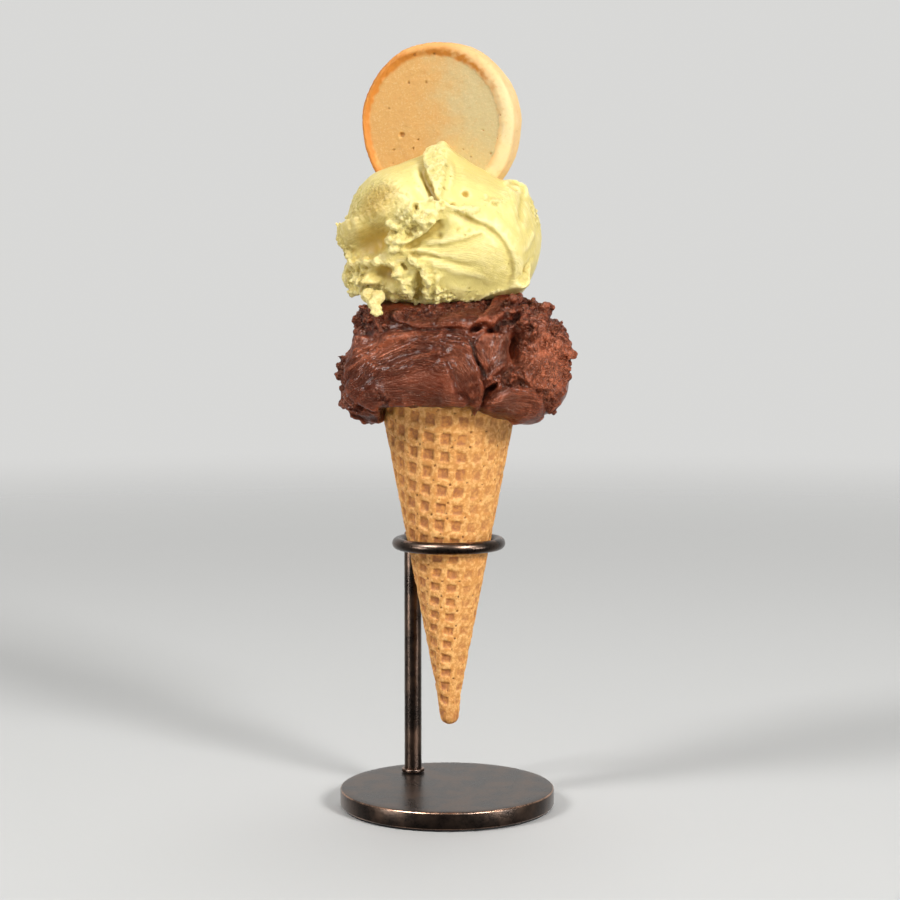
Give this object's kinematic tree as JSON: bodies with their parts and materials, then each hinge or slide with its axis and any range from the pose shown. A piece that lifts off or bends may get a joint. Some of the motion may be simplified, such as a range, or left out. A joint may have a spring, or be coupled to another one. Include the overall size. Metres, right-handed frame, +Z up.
{
  "type": "ice cream cone in a stand",
  "caption": "Rolled waffle cone with a chocolate and a pistachio gelato scoop and a round shortbread, hung in a ring stand on a weighted disc.",
  "frame": {"origin": "centre of the stand's underside, on the surface it stands on", "axes": "+Z up; -Y towards the viewer, the side with the smooth chocolate smear and the shortbread's face; the post stands behind the cone on the -X side"},
  "size_m": [0.09, 0.0851, 0.2839],
  "materials": {
    "rubber": "matte black",
    "bronze": "dark bronze, satin, edges worn brighter",
    "wafer": "baked waffle cone, dry, ribs lighter than the cells",
    "chocolate": "chocolate gelato, moist sheen",
    "pistachio": "pistachio gelato, soft, fine pores",
    "shortbread": "baked shortbread, pale face, browned rim"
  },
  "bodies": {
    "root": {"foot_pad": "rubber", "stand_disc": "bronze", "post_collar": "bronze", "stand_post": "bronze", "stand_ring": "bronze", "waffle_cone": "wafer", "chocolate_scoop": "chocolate", "pistachio_scoop": "pistachio", "shortbread": "shortbread"}
  },
  "joints": []
}
